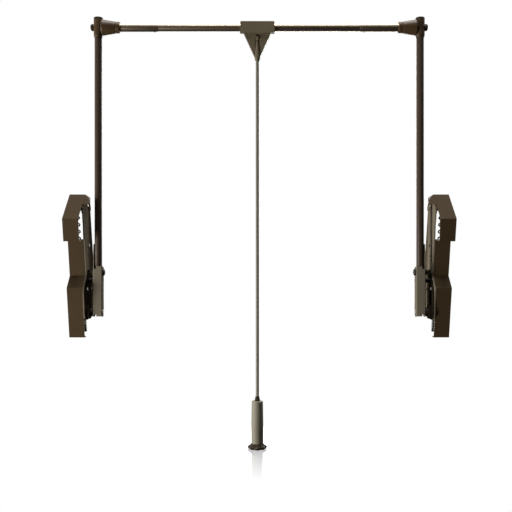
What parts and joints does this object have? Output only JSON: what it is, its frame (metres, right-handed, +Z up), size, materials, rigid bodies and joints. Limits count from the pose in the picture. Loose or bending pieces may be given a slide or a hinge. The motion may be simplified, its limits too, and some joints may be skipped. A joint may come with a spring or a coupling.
{
  "type": "pull-down clothes rail",
  "caption": "Pull-down wardrobe rail: wall-mounted spring units swing two arms and a telescopic hanging rail forward and down by a pull rod with a grip.",
  "frame": {"origin": "where the swing axis meets the left wall face", "axes": "X along the swing axis from the left wall face to the right one, -Y to the front where the frame is pulled down, +Z up along the stowed arms"},
  "size_m": [1.016, 0.146, 1.1525],
  "materials": {
    "moulded_cover": "moulded dark bronze, fine grain",
    "moulded_inner": "moulded black",
    "moulded_elbow": "moulded dark bronze, satin",
    "moulded_bracket": "moulded dark bronze, satin",
    "moulded_dark": "moulded black, satin",
    "grip_cover": "moulded grey-bronze, satin",
    "cast_black": "black coat, matte",
    "steel_black": "dark bronze powder coat",
    "lever_coat": "dark bronze powder coat, satin",
    "tube_coat": "dark bronze coat, satin gloss",
    "rail_coat": "dark bronze coat, gloss",
    "rod_coat": "dark bronze coat, satin",
    "bolt_black": "black oxide",
    "bright_steel": "zinc plated",
    "spring_steel": "oiled spring wire",
    "bush_bronze": "sintered bronze",
    "rubber": "matte"
  },
  "bodies": {
    "left_unit": {"left_wall_plate": "steel_black", "left_housing": "moulded_cover", "left_cheek": "lever_coat", "left_carrier": "cast_black", "left_standoffs": "bright_steel", "left_cheek_screws": "bright_steel", "left_outer_bush": "bush_bronze", "left_inner_bush": "bush_bronze", "left_rack_guide": "moulded_inner", "left_upper_seat": "steel_black", "left_guide_rod": "bright_steel", "left_spring": "spring_steel", "left_stop_buffer": "rubber"},
    "rack_left": {"left_rack": "bright_steel"},
    "swing_left": {"left_pivot_shaft": "bright_steel", "left_sector_gear": "bright_steel", "left_spacer_ring": "bolt_black", "left_lever": "lever_coat", "left_clamp_bolt": "bolt_black", "left_arm_tube": "tube_coat", "left_elbow": "moulded_elbow", "left_elbow_cap": "moulded_dark", "left_elbow_knob": "moulded_dark", "left_rail_sleeve": "rail_coat", "left_sleeve_screw": "bolt_black"},
    "right_unit": {"right_wall_plate": "steel_black", "right_housing": "moulded_cover", "right_cheek": "lever_coat", "right_carrier": "cast_black", "right_standoffs": "bright_steel", "right_cheek_screws": "bright_steel", "right_outer_bush": "bush_bronze", "right_inner_bush": "bush_bronze", "right_rack_guide": "moulded_inner", "right_upper_seat": "steel_black", "right_guide_rod": "bright_steel", "right_spring": "spring_steel", "right_stop_buffer": "rubber"},
    "rack_right": {"right_rack": "bright_steel"},
    "swing_right": {"right_pivot_shaft": "bright_steel", "right_sector_gear": "bright_steel", "right_spacer_ring": "bolt_black", "right_lever": "lever_coat", "right_clamp_bolt": "bolt_black", "right_arm_tube": "tube_coat", "right_elbow": "moulded_elbow", "right_elbow_cap": "moulded_dark", "right_elbow_knob": "moulded_dark", "right_rail_sleeve": "rail_coat", "right_sleeve_screw": "bolt_black"},
    "rail_centre": {"rail_tube": "rail_coat", "bracket_yoke": "moulded_bracket", "bracket_clamp": "moulded_bracket", "bracket_screws": "bright_steel", "rod_pin": "bright_steel"},
    "hanging_rod": {"rod_socket": "moulded_bracket", "pull_rod": "rod_coat", "grip_ferrule": "moulded_dark", "grip": "grip_cover", "grip_foot": "moulded_dark"}
  },
  "joints": [
    {"name": "frame_swing", "type": "hinge", "parent": "left_unit", "child": "swing_left", "pos_m": [0, 0, 0], "axis": [1, 0, 0], "range_deg": [0, 105], "stiffness_Nm_per_rad": 12, "springref_deg": -20.05},
    {"name": "rack_left_slide", "type": "slide", "parent": "left_unit", "child": "rack_left", "axis": [0, -0.2079, 0.9781], "range_m": [0, 0.039], "deforming": ["left_spring"]},
    {"name": "width_adjust", "type": "slide", "parent": "left_unit", "child": "right_unit", "axis": [1, 0, 0], "range_m": [-0.128, 0.088]},
    {"name": "rail_centre_slide", "type": "slide", "parent": "swing_left", "child": "rail_centre", "axis": [1, 0, 0], "range_m": [-0.0641, 0.0441]},
    {"name": "right_arm_slide", "type": "slide", "parent": "rail_centre", "child": "swing_right", "axis": [1, 0, 0], "range_m": [-0.0641, 0.0441]},
    {"name": "rack_right_slide", "type": "slide", "parent": "right_unit", "child": "rack_right", "axis": [0, -0.2079, 0.9781], "range_m": [0, 0.039], "deforming": ["right_spring"]},
    {"name": "rod_swing", "type": "hinge", "parent": "rail_centre", "child": "hanging_rod", "pos_m": [0.503, -0.004, 0.733], "axis": [1, 0, 0], "range_deg": [-110, 0]}
  ],
  "couplings": [
    {"joint": "rack_left_slide", "follows": "frame_swing", "m_per_rad": 0.021},
    {"joint": "rack_right_slide", "follows": "frame_swing", "m_per_rad": 0.021},
    {"joint": "rail_centre_slide", "follows": "width_adjust", "ratio": 0.5},
    {"joint": "right_arm_slide", "follows": "width_adjust", "ratio": 0.5}
  ]
}
